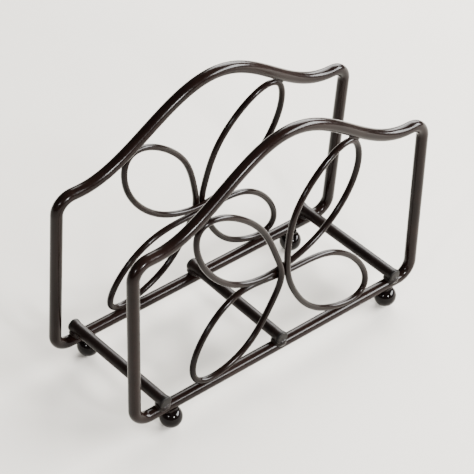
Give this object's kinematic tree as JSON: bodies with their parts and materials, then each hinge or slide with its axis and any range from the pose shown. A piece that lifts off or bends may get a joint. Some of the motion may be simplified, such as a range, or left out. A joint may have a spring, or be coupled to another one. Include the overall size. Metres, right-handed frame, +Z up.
{
  "type": "napkin_dispenser",
  "caption": "Upright napkin holder of welded round wire: two camelback panels with four-petal scrolls, joined by crossbars that carry the napkins, on ball feet",
  "frame": {"origin": "on the table, under the middle of the object", "axes": "X along the panels, Y from the front panel to the back panel, Z up"},
  "size_m": [0.1704, 0.0692, 0.1359],
  "materials": {
    "frame_paint": "satin",
    "scroll_paint": "satin",
    "crossbar_paint": "satin",
    "foot_paint": "gloss",
    "weld_paint": "satin"
  },
  "bodies": {
    "root": {"front_frame": "frame_paint", "back_frame": "frame_paint", "front_scroll": "scroll_paint", "back_scroll": "scroll_paint", "crossbar_left": "crossbar_paint", "crossbar_middle": "crossbar_paint", "crossbar_right": "crossbar_paint", "foot_front_left": "foot_paint", "foot_front_right": "foot_paint", "foot_back_left": "foot_paint", "foot_back_right": "foot_paint", "weld_front_rail_left_bar": "weld_paint", "weld_front_rail_middle_bar": "weld_paint", "weld_front_rail_right_bar": "weld_paint", "weld_back_rail_left_bar": "weld_paint", "weld_back_rail_middle_bar": "weld_paint", "weld_back_rail_right_bar": "weld_paint", "weld_foot_front_left": "weld_paint", "weld_foot_front_right": "weld_paint", "weld_foot_back_left": "weld_paint", "weld_foot_back_right": "weld_paint", "weld_front_upper_left": "weld_paint", "weld_front_upper_right": "weld_paint", "weld_front_lower_left": "weld_paint", "weld_front_lower_right": "weld_paint", "weld_back_upper_left": "weld_paint", "weld_back_upper_right": "weld_paint", "weld_back_lower_left": "weld_paint", "weld_back_lower_right": "weld_paint"}
  },
  "joints": []
}
